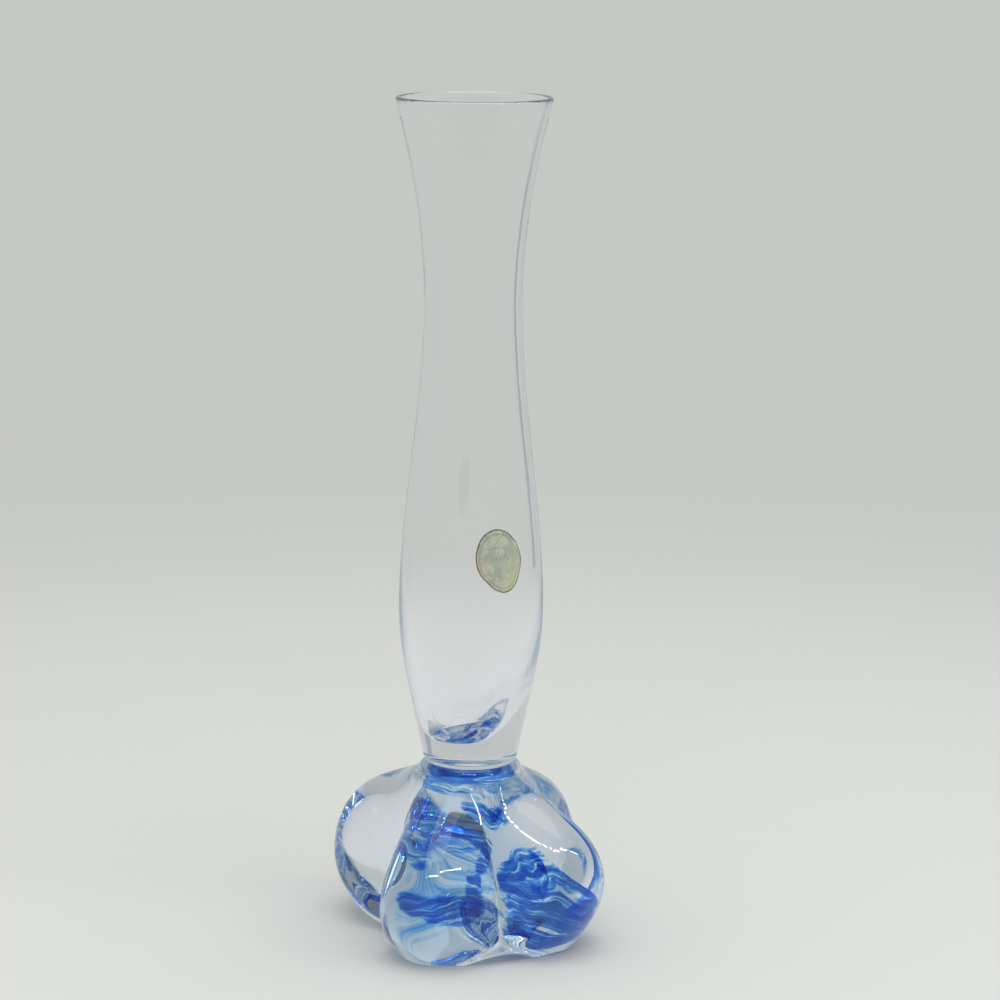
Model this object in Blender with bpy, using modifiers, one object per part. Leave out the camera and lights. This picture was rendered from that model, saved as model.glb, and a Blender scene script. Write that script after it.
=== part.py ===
"""Hand-blown bud vase: a flared clear bowl on a four-lobed clear foot with a blue glass core.

Metres, +Z up. The origin is on the table, under the middle of the foot. The four solids are the
bowl, the foot, the core inside the foot and the oval label on the belly. Every solid keeps one
clearance to the piece that it is fused or glued to.
"""

import math

import bmesh
import bpy
from mathutils import Vector

# Clearance between pieces that touch
GAP = 0.0003

# Outer shape of the bowl
RIM_HEIGHT = 0.2000
RIM_RADIUS = 0.0183
RIM_FLARE = 0.27
WAIST_HEIGHT = 0.1530
WAIST_RADIUS = 0.0114
BELLY_HEIGHT = 0.0800
BELLY_RADIUS = 0.0170
NECK_HEIGHT = 0.0435
NECK_RADIUS = 0.0110
NECK_FLARE = 0.16

# Glass thickness, and the hollow that rounds off above the solid base and leans a little to one side
BELLY_WALL = 0.0023
LIP_WALL = 0.0018
BASE_THICKNESS = 0.0055
HOLLOW_TAPER = 0.0460
HOLLOW_ROUNDING = 1.5
HOLLOW_CLOSING = 1.0 / 3.0
HOLLOW_LEAN = -0.0022
HOLLOW_LEAN_HEIGHT = 0.0260

# Foot: azimuth, reach from the axis, height of the widest ring, shoulder and spread of each lobe
BACK_LEFT_AZIMUTH = -129.0
BACK_LEFT_REACH = 0.0385
BACK_LEFT_HEIGHT = 0.0180
BACK_LEFT_SHOULDER = 0.0195
BACK_LEFT_SPREAD = 0.0035
FRONT_LEFT_AZIMUTH = -22.0
FRONT_LEFT_REACH = 0.0325
FRONT_LEFT_HEIGHT = 0.0165
FRONT_LEFT_SHOULDER = 0.0125
FRONT_LEFT_SPREAD = 0.0008
FRONT_RIGHT_AZIMUTH = 64.0
FRONT_RIGHT_REACH = 0.0342
FRONT_RIGHT_HEIGHT = 0.0180
FRONT_RIGHT_SHOULDER = 0.0155
FRONT_RIGHT_SPREAD = 0.0012
BACK_RIGHT_AZIMUTH = 131.0
BACK_RIGHT_REACH = 0.0308
BACK_RIGHT_HEIGHT = 0.0185
BACK_RIGHT_SHOULDER = 0.0200
BACK_RIGHT_SPREAD = 0.0045
LOBES = (
    (BACK_LEFT_AZIMUTH, BACK_LEFT_REACH, BACK_LEFT_HEIGHT, BACK_LEFT_SHOULDER, BACK_LEFT_SPREAD),
    (FRONT_LEFT_AZIMUTH, FRONT_LEFT_REACH, FRONT_LEFT_HEIGHT, FRONT_LEFT_SHOULDER, FRONT_LEFT_SPREAD),
    (
        FRONT_RIGHT_AZIMUTH,
        FRONT_RIGHT_REACH,
        FRONT_RIGHT_HEIGHT,
        FRONT_RIGHT_SHOULDER,
        FRONT_RIGHT_SPREAD,
    ),
    (BACK_RIGHT_AZIMUTH, BACK_RIGHT_REACH, BACK_RIGHT_HEIGHT, BACK_RIGHT_SHOULDER, BACK_RIGHT_SPREAD),
)
LOBE_PULL = 0.87
LOBE_NECK_DROP = 0.0080
LOBE_UNDERCUT = 0.0085
PAD_RADIUS = 0.0190
PAD_SPREAD = 0.0078
PAD_SAG = 0.0030

# Creases between the lobes: reach and height of the arch under them, on the left, at the front, on the
# right and at the back
CREASE_REACH = 0.0160
CREASE_LIFT = 0.0025
FRONT_CREASE_REACH = 0.0232
FRONT_CREASE_LIFT = 0.0020
BACK_CREASE_REACH = 0.0210
BACK_CREASE_LIFT = 0.0
CREASES = (
    (CREASE_REACH, CREASE_LIFT),
    (FRONT_CREASE_REACH, FRONT_CREASE_LIFT),
    (CREASE_REACH, CREASE_LIFT),
    (BACK_CREASE_REACH, BACK_CREASE_LIFT),
)
CREASE_WIDEST_HEIGHT = 0.0070
CREASE_SHOULDER = 0.0110
CREASE_SPREAD = 0.0012
CREASE_UNDER = 0.0010
CREASE_FILLET = 0.0045
UNDERSIDE_HEIGHT = 0.0005

# Blue core: top, stem and underside, and each arm's reach, height, shoulder and fall from the stem
CORE_TOP = 0.0400
CORE_STEM_RADIUS = 0.0078
CORE_STEM_HEIGHT = 0.0360
CORE_UNDERSIDE = 0.0028
CORE_UNDERCUT = 0.0022
CORE_PATCH_RADIUS = 0.0060
CORE_PULL = 0.93
CORE_BELLY = 0.7
CORE_FLATNESS = 0.6
CORE_ARM_HEIGHT = 0.0105
CORE_ARM_SHOULDER = 0.0060
CORE_ARM_FALL = 0.0180
CORE_BACK_LEFT_REACH = 0.0195
CORE_FRONT_LEFT_REACH = 0.0262
CORE_FRONT_LEFT_HEIGHT = 0.0130
CORE_FRONT_LEFT_SHOULDER = 0.0110
CORE_FRONT_LEFT_FALL = 0.0060
CORE_FRONT_RIGHT_REACH = 0.0285
CORE_BACK_RIGHT_REACH = 0.0230
CORE_ARMS = (
    (CORE_BACK_LEFT_REACH, CORE_ARM_HEIGHT, CORE_ARM_SHOULDER, CORE_ARM_FALL),
    (CORE_FRONT_LEFT_REACH, CORE_FRONT_LEFT_HEIGHT, CORE_FRONT_LEFT_SHOULDER, CORE_FRONT_LEFT_FALL),
    (CORE_FRONT_RIGHT_REACH, CORE_ARM_HEIGHT, CORE_ARM_SHOULDER, CORE_ARM_FALL),
    (CORE_BACK_RIGHT_REACH, CORE_ARM_HEIGHT, CORE_ARM_SHOULDER, CORE_ARM_FALL),
)
CORE_CREASE_REACH = 0.0085
CORE_CREASE_HEIGHT = 0.0085
CORE_CREASE_SHOULDER = 0.0080
CORE_CREASE_FALL = 0.0100
CORE_CREASE = (CORE_CREASE_REACH, CORE_CREASE_HEIGHT, CORE_CREASE_SHOULDER, CORE_CREASE_FALL)

# Oval label on the front right of the belly
LABEL_WIDTH = 0.0112
LABEL_HEIGHT = 0.0150
LABEL_THICKNESS = 0.0002
LABEL_CENTRE_HEIGHT = 0.0948
LABEL_AZIMUTH = 24.0
LABEL_LEAN = -10.0

# Fineness of the faceted surfaces
MERGE_DISTANCE = 0.00001
CORNER_GROWTH = 2.0
CORE_RELAX_ROUNDS = 3
CORE_RELAX_SHARE = 0.5
SMOOTH_ANGLE = 40.0
TURN_STEPS = 48
STATION_STEPS = 6
CLOSING_STEPS = 9
LIP_STEPS = 5
LOFT_STEPS_PER_LOBE = 14
LOFT_STEPS_PER_SPAN = 7
LABEL_RINGS = 4
LABEL_SPOKES = 32

FULL_TURN = 360.0


def clear_scene():
    for thing in list(bpy.data.objects):
        bpy.data.objects.remove(thing, do_unlink=True)


def new_collection(name):
    collection = bpy.data.collections.new(name)
    bpy.context.scene.collection.children.link(collection)
    return collection


def glass(name, colour, roughness):
    material = bpy.data.materials.new(name)
    material.use_nodes = True
    shader = material.node_tree.nodes["Principled BSDF"]
    shader.inputs["Base Color"].default_value = (*colour, 1.0)
    shader.inputs["Roughness"].default_value = roughness
    shader.inputs["Metallic"].default_value = 0.0
    shader.inputs["Transmission Weight"].default_value = 1.0
    shader.inputs["IOR"].default_value = 1.5
    return material


def paper(name, colour, roughness):
    material = bpy.data.materials.new(name)
    material.use_nodes = True
    shader = material.node_tree.nodes["Principled BSDF"]
    shader.inputs["Base Color"].default_value = (*colour, 1.0)
    shader.inputs["Roughness"].default_value = roughness
    shader.inputs["Metallic"].default_value = 0.0
    return material


def hermite(t, start, end, start_slope, end_slope):
    """Cubic from start to end, with slopes given over the whole run of t from 0 to 1."""
    rise = t * t * (3.0 - 2.0 * t)
    leave = t * (1.0 - t) ** 2
    arrive = t * t * (t - 1.0)
    return start + (end - start) * rise + start_slope * leave + end_slope * arrive


def outer_radius(height):
    """Outside of the bowl: neck to belly, belly to waist, waist to rim."""
    stations = (
        (NECK_HEIGHT, NECK_RADIUS, NECK_FLARE),
        (BELLY_HEIGHT, BELLY_RADIUS, 0.0),
        (WAIST_HEIGHT, WAIST_RADIUS, 0.0),
        (RIM_HEIGHT, RIM_RADIUS, RIM_FLARE),
    )
    for low, high in zip(stations, stations[1:]):
        if height <= high[0] or high is stations[-1]:
            span = high[0] - low[0]
            t = (height - low[0]) / span
            return hermite(t, low[1], high[1], low[2] * span, high[2] * span)
    raise ValueError("no station above this height")


def wall_thickness(height):
    """Even wall up to the waist, thinning to the lip above it."""
    t = max(0.0, (height - WAIST_HEIGHT) / (RIM_HEIGHT - WAIST_HEIGHT))
    return BELLY_WALL + (LIP_WALL - BELLY_WALL) * t


def inner_radius(height):
    """Inside of the bowl: follows the wall and closes with a full round bottom."""
    bottom = NECK_HEIGHT + BASE_THICKNESS
    below = max(0.0, bottom + HOLLOW_TAPER - height) / HOLLOW_TAPER
    closing = max(0.0, 1.0 - below**HOLLOW_ROUNDING) ** HOLLOW_CLOSING
    return (outer_radius(height) - wall_thickness(height)) * closing


def hollow_shift(height):
    """How far the hollow's middle lies off the axis, most at its bottom."""
    below = max(0.0, NECK_HEIGHT + BASE_THICKNESS + HOLLOW_LEAN_HEIGHT - height) / HOLLOW_LEAN_HEIGHT
    return HOLLOW_LEAN * min(1.0, below) ** 2


def bowl_profile():
    """From the bottom of the hollow up the inside, over the round lip and down the outside."""
    bottom = NECK_HEIGHT + BASE_THICKNESS
    taper_top = bottom + HOLLOW_TAPER
    lip = LIP_WALL / 2.0
    lip_height = RIM_HEIGHT - lip
    points = [Vector((0.0, 0.0, bottom))]
    for step in range(1, CLOSING_STEPS + 1):
        angle = math.pi / 2.0 * step / CLOSING_STEPS
        height = bottom + HOLLOW_TAPER * (1.0 - math.cos(angle))
        points.append(Vector((inner_radius(height), 0.0, height)))
    for low, high in ((taper_top, WAIST_HEIGHT), (WAIST_HEIGHT, lip_height)):
        for step in range(1, STATION_STEPS):
            height = low + (high - low) * step / STATION_STEPS
            points.append(Vector((inner_radius(height), 0.0, height)))
        if high < lip_height:
            points.append(Vector((inner_radius(high), 0.0, high)))
    lip_centre = outer_radius(lip_height) - lip
    for step in range(LIP_STEPS + 1):
        angle = math.pi * (1.0 - step / LIP_STEPS)
        reach = lip_centre + lip * math.cos(angle)
        points.append(Vector((reach, 0.0, lip_height + lip * math.sin(angle))))
    for low, high in (
        (WAIST_HEIGHT, lip_height),
        (BELLY_HEIGHT, WAIST_HEIGHT),
        (NECK_HEIGHT, BELLY_HEIGHT),
    ):
        for step in range(1, STATION_STEPS + 1):
            height = high + (low - high) * step / STATION_STEPS
            points.append(Vector((outer_radius(height), 0.0, height)))
    points.append(Vector((0.0, 0.0, NECK_HEIGHT)))
    return points


def turned(name, points, collection):
    """A solid of revolution from a profile in the XZ plane, with its hollow leant to one side."""
    form = bmesh.new()
    spots = [form.verts.new(point) for point in points]
    edges = [form.edges.new(pair) for pair in zip(spots, spots[1:])]
    bmesh.ops.spin(
        form,
        geom=spots + edges,
        cent=(0.0, 0.0, 0.0),
        axis=(0.0, 0.0, 1.0),
        angle=math.radians(FULL_TURN),
        steps=TURN_STEPS,
        use_merge=True,
    )
    bmesh.ops.remove_doubles(form, verts=form.verts, dist=MERGE_DISTANCE)
    bmesh.ops.recalc_face_normals(form, faces=form.faces)
    for vertex in form.verts:
        height = vertex.co.z
        wall_middle = outer_radius(height) - wall_thickness(height) / 2.0
        if height > NECK_HEIGHT and math.hypot(vertex.co.x, vertex.co.y) < wall_middle:
            vertex.co.x += hollow_shift(height)
    mesh = bpy.data.meshes.new(name)
    form.to_mesh(mesh)
    form.free()
    body = bpy.data.objects.new(name, mesh)
    collection.objects.link(body)
    return body


def bezier(start, start_handle, end_handle, end, steps):
    """Points along one cubic span, without its last one."""
    points = []
    for step in range(steps):
        t = step / steps
        s = 1.0 - t
        points.append(
            start * s**3 + start_handle * 3.0 * s * s * t + end_handle * 3.0 * s * t * t + end * t**3
        )
    return points


def underside_middle():
    return Vector((CORE_PATCH_RADIUS / 2.0, UNDERSIDE_HEIGHT))


def lobe_profile(reach, widest_height, shoulder, spread):
    """Radius and height down the ridge of a lobe, from the neck to the middle of the underside."""
    steps = LOFT_STEPS_PER_SPAN
    neck = Vector((NECK_RADIUS, NECK_HEIGHT - GAP))
    widest = Vector((reach, widest_height))
    pad = Vector((PAD_RADIUS, -PAD_SAG))
    middle = underside_middle()
    top = neck + Vector((spread, -LOBE_NECK_DROP))
    points = bezier(neck, top, widest + Vector((0.0, shoulder)), widest, steps)
    below = widest - Vector((0.0, LOBE_UNDERCUT))
    points += bezier(widest, below, pad + Vector((PAD_SPREAD, 0.0)), pad, steps)
    under = pad - Vector((PAD_SPREAD, 0.0))
    points += bezier(pad, under, middle + Vector((CORE_PATCH_RADIUS, 0.0)), middle, steps)
    return points + [middle]


def crease_profile(reach, lift):
    """Radius and height between two lobes that stand apart, in step with lobe_profile."""
    steps = LOFT_STEPS_PER_SPAN
    neck = Vector((NECK_RADIUS, NECK_HEIGHT - GAP))
    widest = Vector((reach, CREASE_WIDEST_HEIGHT))
    under = Vector((reach - CREASE_UNDER, lift))
    middle = underside_middle()
    round_off = Vector((CREASE_FILLET, 0.0))
    top = neck + Vector((CREASE_SPREAD, -LOBE_NECK_DROP))
    points = bezier(neck, top, widest + Vector((0.0, CREASE_SHOULDER)), widest, steps)
    below = widest - Vector((0.0, (CREASE_WIDEST_HEIGHT - lift) / 2.0))
    points += bezier(widest, below, under + round_off, under, steps)
    points += bezier(under, under - round_off, middle + Vector((CORE_PATCH_RADIUS, 0.0)), middle, steps)
    return points + [middle]


def core_profile(reach, widest_height, shoulder, fall):
    """Radius and height down the core: domed stem, an arm's widest ring, underside and round patch."""
    steps = LOFT_STEPS_PER_SPAN
    top = Vector((CORE_STEM_RADIUS / 4.0, CORE_TOP))
    stem = Vector((CORE_STEM_RADIUS, CORE_STEM_HEIGHT))
    widest = Vector((reach, widest_height))
    root = Vector((CORE_PATCH_RADIUS, CORE_UNDERSIDE))
    dome = Vector((CORE_STEM_RADIUS, CORE_TOP))
    points = bezier(top, (top + dome) / 2.0, dome, stem, steps // 2)
    down = stem - Vector((0.0, fall))
    points += bezier(stem, down, widest + Vector((0.0, shoulder)), widest, 2 * steps)
    below = widest - Vector((0.0, (widest_height - root.y) * CORE_BELLY))
    inward = root + Vector(((reach - CORE_PATCH_RADIUS) * CORE_FLATNESS, CORE_UNDERCUT))
    points += bezier(widest, below, inward, root, steps)
    return points + [root, Vector((CORE_PATCH_RADIUS, UNDERSIDE_HEIGHT))]


def lobe_edge(reach, root, pull, turn):
    """Distance from the axis to a round lobe's edge, at an angle from the lobe's middle."""
    centre = max(0.0, pull * (reach - root))
    radius = reach - centre
    inside = radius**2 - (centre * math.sin(turn)) ** 2
    if inside <= 0.0 or turn > math.pi / 2.0:
        return 0.0
    return centre * math.cos(turn) + math.sqrt(inside)


def rounded_max(one, other, fillet):
    """The larger of two radii, with a fillet where they cross."""
    if fillet <= 0.0:
        return max(one, other)
    closeness = max(0.0, fillet - abs(one - other))
    return max(one, other) + closeness**2 / (4.0 * fillet)


def lobed_ring(ridges, creases, root, pull):
    """One ring of points round the axis, from the ridge and crease points at one station."""
    ring = []
    count = len(LOBES)
    for index, lobe in enumerate(LOBES):
        after = (index + 1) % count
        crease = creases[index]
        span = math.radians((LOBES[after][0] - lobe[0]) % FULL_TURN)
        for step in range(LOFT_STEPS_PER_LOBE):
            along = span * step / LOFT_STEPS_PER_LOBE
            near = ridges[index] if along < span / 2.0 else ridges[after]
            fillet = min(CREASE_FILLET, abs(near.x - crease.x) / 2.0)
            radius = rounded_max(
                lobe_edge(ridges[index].x, root, pull, along),
                lobe_edge(ridges[after].x, root, pull, span - along),
                fillet,
            )
            radius = rounded_max(radius, crease.x, fillet)
            share = 0.5 + 0.5 * math.cos(2.0 * math.pi * along / span)
            height = crease.y + (near.y - crease.y) * share
            direction = math.radians(lobe[0]) + along
            ring.append((radius * math.sin(direction), -radius * math.cos(direction), height))
    return ring


def lobed_loft(name, ridges, creases, root, pull, collection):
    """A closed loft through lobed rings, from the top one down and round to the underside."""
    form = bmesh.new()
    rings = []
    for station in range(len(ridges[0])):
        over = [ridge[station] for ridge in ridges]
        between = [crease[station] for crease in creases]
        rings.append([form.verts.new(place) for place in lobed_ring(over, between, root, pull)])
    count = len(rings[0])
    for upper, lower in zip(rings, rings[1:]):
        for index in range(count):
            after = (index + 1) % count
            form.faces.new((upper[index], lower[index], lower[after], upper[after]))
    form.faces.new(rings[0])
    form.faces.new(reversed(rings[-1]))
    bmesh.ops.triangulate(form, faces=form.faces)
    mesh = bpy.data.meshes.new(name)
    form.to_mesh(mesh)
    form.free()
    body = bpy.data.objects.new(name, mesh)
    collection.objects.link(body)
    return body


def smooth(body, angle):
    body.data.shade_smooth()
    body.data.set_sharp_from_angle(angle=math.radians(angle))


def hide_cutter(body):
    body.hide_render = True
    body.display_type = "WIRE"


def cut(body, cutter, name):
    boolean = body.modifiers.new(name, "BOOLEAN")
    boolean.operation = "DIFFERENCE"
    boolean.solver = "EXACT"
    boolean.object = cutter


def make_bowl(collection):
    bowl = turned("bowl", bowl_profile(), collection)
    smooth(bowl, SMOOTH_ANGLE)
    bowl.data.materials.append(glass("clear_bowl_glass", (0.93, 0.96, 0.98), 0.02))
    return bowl


def relax(core):
    """Soften the core above its round patch, as glass flows between the arms."""
    form = bmesh.new()
    form.from_mesh(core.data)
    soft = [vertex for vertex in form.verts if vertex.co.z > CORE_UNDERSIDE + GAP]
    for _ in range(CORE_RELAX_ROUNDS):
        bmesh.ops.smooth_vert(
            form,
            verts=soft,
            factor=CORE_RELAX_SHARE,
            use_axis_x=True,
            use_axis_y=True,
            use_axis_z=True,
        )
    form.to_mesh(core.data)
    form.free()


def make_core(collection):
    ridges = [core_profile(*arm) for arm in CORE_ARMS]
    creases = [core_profile(*CORE_CREASE)] * len(LOBES)
    core = lobed_loft("blue_core", ridges, creases, CORE_STEM_RADIUS, CORE_PULL, collection)
    relax(core)
    smooth(core, SMOOTH_ANGLE)
    core.data.materials.append(glass("blue_core_glass", (0.05, 0.22, 0.70), 0.02))
    return core


def make_core_cutter(core, collection):
    """The core grown by the clearance, and carried down through the underside of the foot."""
    form = bmesh.new()
    form.from_mesh(core.data)
    form.normal_update()
    grown = []
    for vertex in form.verts:
        growth = GAP * min(CORNER_GROWTH, vertex.calc_shell_factor())
        place = vertex.co + vertex.normal * growth
        if vertex.co.z < (UNDERSIDE_HEIGHT + CORE_UNDERSIDE) / 2.0:
            place.z = -PAD_SAG
        grown.append(place)
    for vertex, place in zip(form.verts, grown):
        vertex.co = place
    mesh = bpy.data.meshes.new("core_space")
    form.to_mesh(mesh)
    form.free()
    cutter = bpy.data.objects.new("core_space", mesh)
    collection.objects.link(cutter)
    hide_cutter(cutter)
    return cutter


def make_table_cutter(collection):
    """A slab under the table plane, which leaves a flat pad under each lobe."""
    depth = 4.0 * PAD_SAG
    bpy.ops.mesh.primitive_cube_add(size=1.0, location=(0.0, 0.0, -depth / 2.0))
    cutter = bpy.context.object
    cutter.name = "table_plane"
    width = 4.0 * max(lobe[1] for lobe in LOBES)
    cutter.scale = (width, width, depth)
    for holder in list(cutter.users_collection):
        holder.objects.unlink(cutter)
    collection.objects.link(cutter)
    hide_cutter(cutter)
    return cutter


def make_foot(core, collection, cutters):
    ridges = [lobe_profile(*lobe[1:]) for lobe in LOBES]
    creases = [crease_profile(*crease) for crease in CREASES]
    foot = lobed_loft("foot", ridges, creases, NECK_RADIUS, LOBE_PULL, collection)
    smooth(foot, SMOOTH_ANGLE)
    cut(foot, make_table_cutter(cutters), "flat pads")
    cut(foot, make_core_cutter(core, cutters), "core space")
    foot.data.materials.append(glass("clear_foot_glass", (0.90, 0.94, 0.97), 0.02))
    return foot


def label_place(across, along):
    """A point of the flat label, laid round the belly at the clearance from the glass."""
    lean = math.radians(LABEL_LEAN)
    sideways = across * math.cos(lean) + along * math.sin(lean)
    height = LABEL_CENTRE_HEIGHT + along * math.cos(lean) - across * math.sin(lean)
    radius = outer_radius(height) + GAP
    direction = math.radians(LABEL_AZIMUTH) + sideways / outer_radius(LABEL_CENTRE_HEIGHT)
    return (radius * math.sin(direction), -radius * math.cos(direction), height)


def make_label(collection):
    form = bmesh.new()
    centre = form.verts.new(label_place(0.0, 0.0))
    rings = []
    for ring in range(1, LABEL_RINGS + 1):
        size = ring / LABEL_RINGS
        spots = []
        for spoke in range(LABEL_SPOKES):
            angle = 2.0 * math.pi * spoke / LABEL_SPOKES
            across = LABEL_WIDTH / 2.0 * size * math.cos(angle)
            along = LABEL_HEIGHT / 2.0 * size * math.sin(angle)
            spots.append(form.verts.new(label_place(across, along)))
        rings.append(spots)
    for spoke in range(LABEL_SPOKES):
        after = (spoke + 1) % LABEL_SPOKES
        form.faces.new((centre, rings[0][spoke], rings[0][after]))
        for inner, outer in zip(rings, rings[1:]):
            form.faces.new((inner[spoke], outer[spoke], outer[after], inner[after]))
    mesh = bpy.data.meshes.new("label")
    form.to_mesh(mesh)
    form.free()
    label = bpy.data.objects.new("label", mesh)
    collection.objects.link(label)
    solidify = label.modifiers.new("thickness", "SOLIDIFY")
    solidify.thickness = LABEL_THICKNESS
    solidify.offset = 1.0
    smooth(label, SMOOTH_ANGLE)
    label.data.materials.append(paper("label_paper", (0.36, 0.37, 0.28), 0.6))
    return label


def main():
    clear_scene()
    vase = new_collection("bud_vase")
    cutters = new_collection("cutters")
    make_bowl(vase)
    core = make_core(vase)
    make_foot(core, vase, cutters)
    make_label(vase)


main()
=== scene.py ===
"""Hand-blown bud vase on a pale floor: clear glass, blue core in a lobed foot, oval label.

Lengths are in metres and angles in degrees. The azimuth 0 looks at the viewer (-Y), 90 to +X.
"""

import math

import bmesh
import bpy
from mathutils import Matrix, Vector, noise


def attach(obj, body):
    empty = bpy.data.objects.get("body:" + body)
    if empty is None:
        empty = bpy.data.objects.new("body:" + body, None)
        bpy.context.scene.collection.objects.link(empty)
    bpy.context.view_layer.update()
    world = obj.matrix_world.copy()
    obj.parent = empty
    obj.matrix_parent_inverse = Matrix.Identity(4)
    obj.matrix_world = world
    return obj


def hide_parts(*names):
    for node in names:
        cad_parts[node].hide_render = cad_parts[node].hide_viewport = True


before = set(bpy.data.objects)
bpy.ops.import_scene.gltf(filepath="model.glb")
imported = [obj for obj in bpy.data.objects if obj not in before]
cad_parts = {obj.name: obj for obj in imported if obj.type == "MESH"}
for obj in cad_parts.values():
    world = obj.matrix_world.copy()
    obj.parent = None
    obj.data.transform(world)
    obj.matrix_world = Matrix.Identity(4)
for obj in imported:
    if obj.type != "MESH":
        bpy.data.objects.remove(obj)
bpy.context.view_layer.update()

# Bowl, with the sizes of the part's own source, apart from LIP_WALL and the hollow's bottom
# (HOLLOW_ROUND, HOLLOW_CLOSE), which follow what refraction shows in the photograph
RIM_HEIGHT = 0.2000
RIM_RADIUS = 0.0183
RIM_FLARE = 0.27
WAIST_HEIGHT = 0.1530
WAIST_RADIUS = 0.0114
BELLY_HEIGHT = 0.0800
BELLY_RADIUS = 0.0170
NECK_HEIGHT = 0.0435
NECK_RADIUS = 0.0110
NECK_FLARE = 0.16
BELLY_WALL = 0.0023
LIP_WALL = 0.0012
BASE_THICKNESS = 0.0055
HOLLOW_TAPER = 0.0460
HOLLOW_ROUND = 2.2
HOLLOW_CLOSE = 0.27
HOLLOW_LEAN = -0.0022
HOLLOW_LEAN_HEIGHT = 0.0260
# The fine rings where bowl and foot were joined: height, depth and half width
JOINTS = (
    (0.0437, 0.00045, 0.0005),
    (0.0421, -0.00025, 0.0007),
    (0.0407, 0.00030, 0.0005),
)

# Foot. Each lobe: azimuth, reach, widest height, shoulder and spread under the neck
LOBES = (
    (-129.0, 0.0385, 0.0180, 0.0195, 0.0035),
    (-22.0, 0.0325, 0.0165, 0.0125, 0.0008),
    (64.0, 0.0342, 0.0180, 0.0155, 0.0012),
    (131.0, 0.0308, 0.0185, 0.0200, 0.0045),
)
LOBE_PULL = 0.87
LOBE_NECK_DROP = 0.0080
LOBE_UNDERCUT = 0.0085
PAD_RADIUS = 0.0190
PAD_SPREAD = 0.0078
PAD_SAG = 0.0030
# The crease after each lobe: reach and lift off the table
CREASES = (
    (0.0160, 0.0025),
    (0.0232, 0.0020),
    (0.0160, 0.0025),
    (0.0210, 0.0000),
)
CREASE_WIDEST_HEIGHT = 0.0070
CREASE_SHOULDER = 0.0110
CREASE_SPREAD = 0.0012
CREASE_UNDER = 0.0010
CREASE_FILLET = 0.0045
UNDERSIDE_HEIGHT = 0.0005

# Core. Each arm and the creases: reach, widest height, shoulder and drop under the stem
CORE_TOP = 0.0400
CORE_STEM_RADIUS = 0.0078
CORE_STEM_HEIGHT = 0.0360
CORE_PATCH_RADIUS = 0.0060
CORE_LIFT = 0.0023
CORE_UNDERCUT = 0.0022
CORE_UNDER_SHARE = 0.7
CORE_INWARD_SHARE = 0.6
CORE_PULL = 0.93
CORE_ARMS = (
    (0.0195, 0.0105, 0.0060, 0.0180),
    (0.0262, 0.0130, 0.0110, 0.0060),
    (0.0285, 0.0100, 0.0070, 0.0200),
    (0.0230, 0.0100, 0.0060, 0.0180),
)
CORE_CREASE = (0.0085, 0.0085, 0.0080, 0.0100)

# Label
LABEL_WIDTH = 0.0112
LABEL_HEIGHT = 0.0150
LABEL_THICKNESS = 0.0002
LABEL_CENTRE_HEIGHT = 0.0948
LABEL_AZIMUTH = 24.0
LABEL_LEAN = -13.0
LABEL_SEAT = 0.0001
LABEL_RAG = 0.020
LABEL_RAG_SCALE = 3.0
LABEL_WRINKLE = 0.00015
LABEL_WRINKLE_ACROSS = 2.0
LABEL_WRINKLE_ALONG = 5.0
LABEL_NARROWING = 0.16
LABEL_NARROW_END = 0.9

# Fineness of the meshes
STEPS_PER_LOBE = 48
STEPS_PER_SPAN = 26
NECK_CROWDING = 1.6
NECK_STATIONS = 12
NECK_STATIONS_TOP = 0.0455
WALL_STATIONS = 26
CLOSING_STEPS = 28
LIP_STEPS = 10
LABEL_RINGS = 20
LABEL_SPOKES = 128

# Clear glass: its tint, and the tool marks that were drawn down the creases and round the lip
GLASS_IOR = 1.5
GLASS_TINT = (0.03, 0.34, 0.66)
GLASS_DENSITY = 5.5
STRANDS_AROUND = 7.0
STRANDS_DOWN = 50.0
STRAND_DETAIL = 3.0
STRAND_TWIST = 0.5
MARK_DEPTH = 0.00016
SMOOTH_MARKS = 0.10
CREASE_SHARPNESS = 3
MARKS_BELOW_NECK = 0.003
MARKS_FROM = (0.002, 0.010)
LIP_MARKS = 1.0
LIP_MARKS_FROM = (RIM_HEIGHT - 0.004, RIM_HEIGHT - 0.001)

# Blue streaks on the front of the core: strokes with two ends (across, up), radius and amount
BLUE_STROKES = (
    (-0.0120, 0.0150, -0.0070, 0.0145, 0.0022, 0.92),
    (-0.0070, 0.0142, -0.0010, 0.0135, 0.0030, 0.92),
    (-0.0004, 0.0190, -0.0004, 0.0130, 0.0017, 0.80),
    (-0.0090, 0.0062, 0.0000, 0.0062, 0.0015, 0.62),
    (-0.0110, 0.0230, -0.0075, 0.0300, 0.0022, 0.66),
    (-0.0080, 0.0285, -0.0010, 0.0275, 0.0034, 0.60),
    (0.0015, 0.0215, 0.0030, 0.0250, 0.0016, 0.80),
    (0.0000, 0.0330, 0.0055, 0.0300, 0.0024, 0.70),
    (0.0115, 0.0150, 0.0200, 0.0130, 0.0072, 1.0),
    (0.0100, 0.0080, 0.0200, 0.0075, 0.0045, 1.0),
    (0.0150, 0.0050, 0.0250, 0.0090, 0.0035, 0.95),
)
STROKE_EDGE = (0.75, 1.25)
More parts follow.
